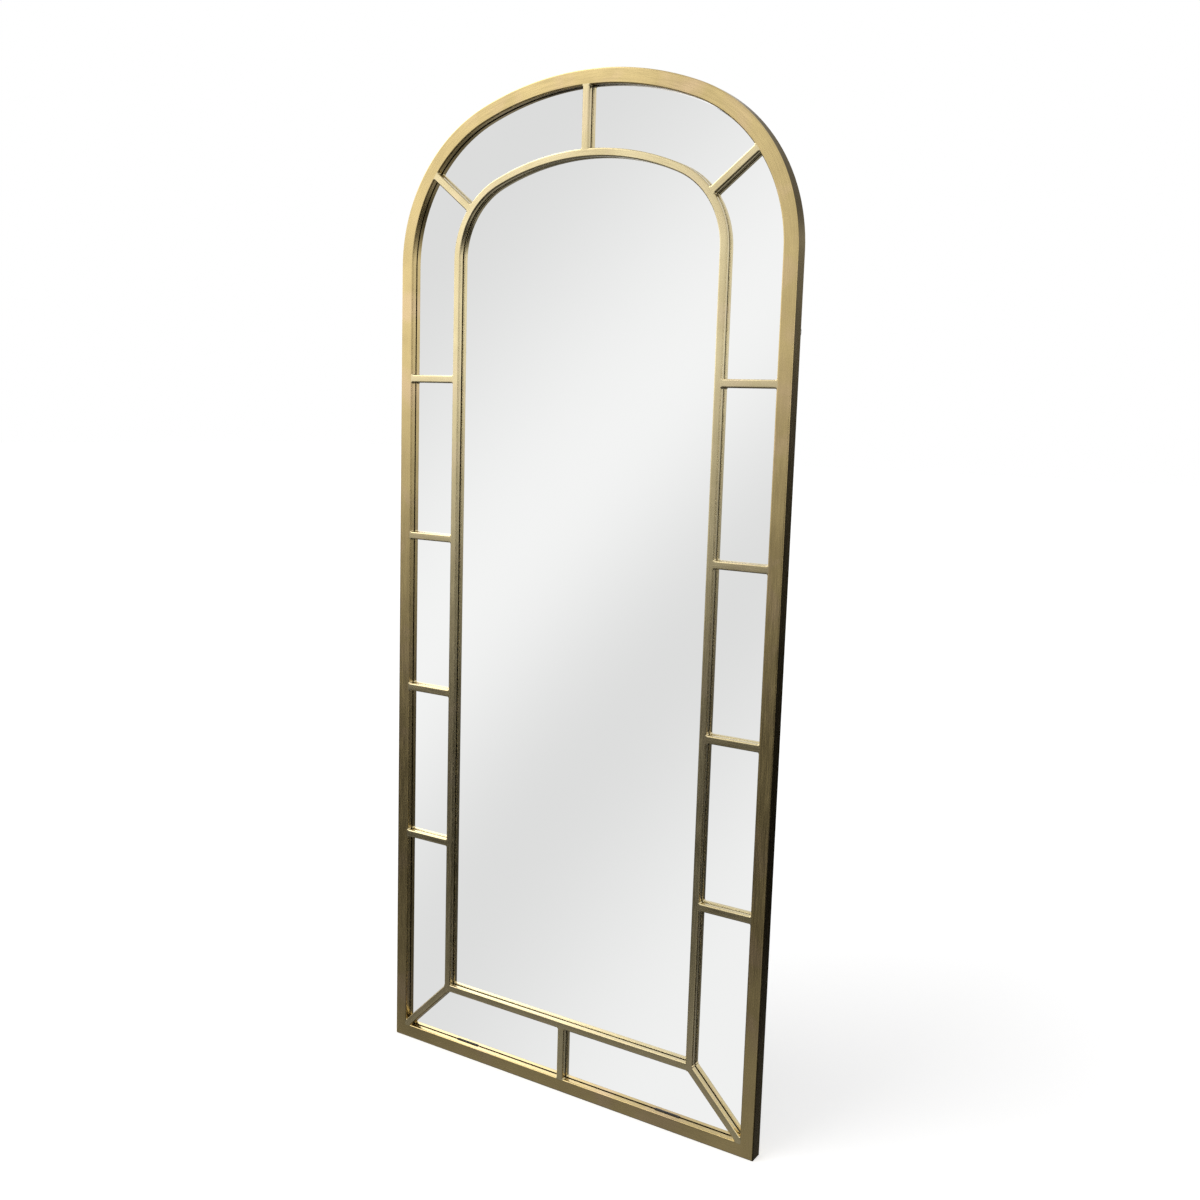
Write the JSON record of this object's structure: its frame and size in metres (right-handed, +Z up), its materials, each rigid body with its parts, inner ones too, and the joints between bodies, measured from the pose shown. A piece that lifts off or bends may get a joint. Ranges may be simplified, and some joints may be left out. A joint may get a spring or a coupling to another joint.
{
  "type": "leaning floor mirror",
  "caption": "Tall arched floor mirror in a brass-coloured metal frame; an inner frame and short bars divide the border into fields; it leans on a wall or hangs from two D-rings.",
  "frame": {"origin": "middle of the space the mirror takes up, on the floor", "axes": "+X to the right as one looks into the mirror, +Y to the back (the wall side), +Z up"},
  "size_m": [0.8, 0.036, 1.8279],
  "materials": {
    "brass_finish": "satin aged-brass finish on steel tube, slightly rubbed on the edges",
    "mirror": "clear float glass, silvered on the back",
    "foam_tape": "white foam mounting tape",
    "board": "fibreboard painted black",
    "black_rubber": "matt black rubber",
    "zinc_steel": "bright zinc plate"
  },
  "bodies": {
    "frame": {"backing_board": "board", "base_bar": "brass_finish", "clip_screws": "zinc_steel", "corner_bar_left": "brass_finish", "corner_bar_right": "brass_finish", "crown_bar": "brass_finish", "hanger_screws": "zinc_steel", "hanger_strap_left": "zinc_steel", "hanger_strap_right": "zinc_steel", "inner_arch": "brass_finish", "inner_bottom_rail": "brass_finish", "inner_stile_left": "brass_finish", "inner_stile_right": "brass_finish", "mirror_glass": "mirror", "mounting_tape": "foam_tape", "outer_arch": "brass_finish", "outer_bottom_rail": "brass_finish", "outer_stile_left": "brass_finish", "outer_stile_right": "brass_finish", "retaining_clips": "zinc_steel", "setting_blocks": "black_rubber", "shoulder_bar_left": "brass_finish", "shoulder_bar_right": "brass_finish", "side_bar_left_1": "brass_finish", "side_bar_left_2": "brass_finish", "side_bar_left_3": "brass_finish", "side_bar_left_4": "brass_finish", "side_bar_right_1": "brass_finish", "side_bar_right_2": "brass_finish", "side_bar_right_3": "brass_finish", "side_bar_right_4": "brass_finish", "wall_bumpers": "black_rubber"},
    "left_ring": {"d_ring_left": "zinc_steel"},
    "right_ring": {"d_ring_right": "zinc_steel"}
  },
  "joints": [
    {"name": "left_ring_swing", "type": "hinge", "parent": "frame", "child": "left_ring", "pos_m": [-0.387, 0.013, 1.40069], "axis": [1, 0, 0], "range_deg": [0, 180]},
    {"name": "right_ring_swing", "type": "hinge", "parent": "frame", "child": "right_ring", "pos_m": [0.387, 0.013, 1.40069], "axis": [1, 0, 0], "range_deg": [0, 180]}
  ]
}
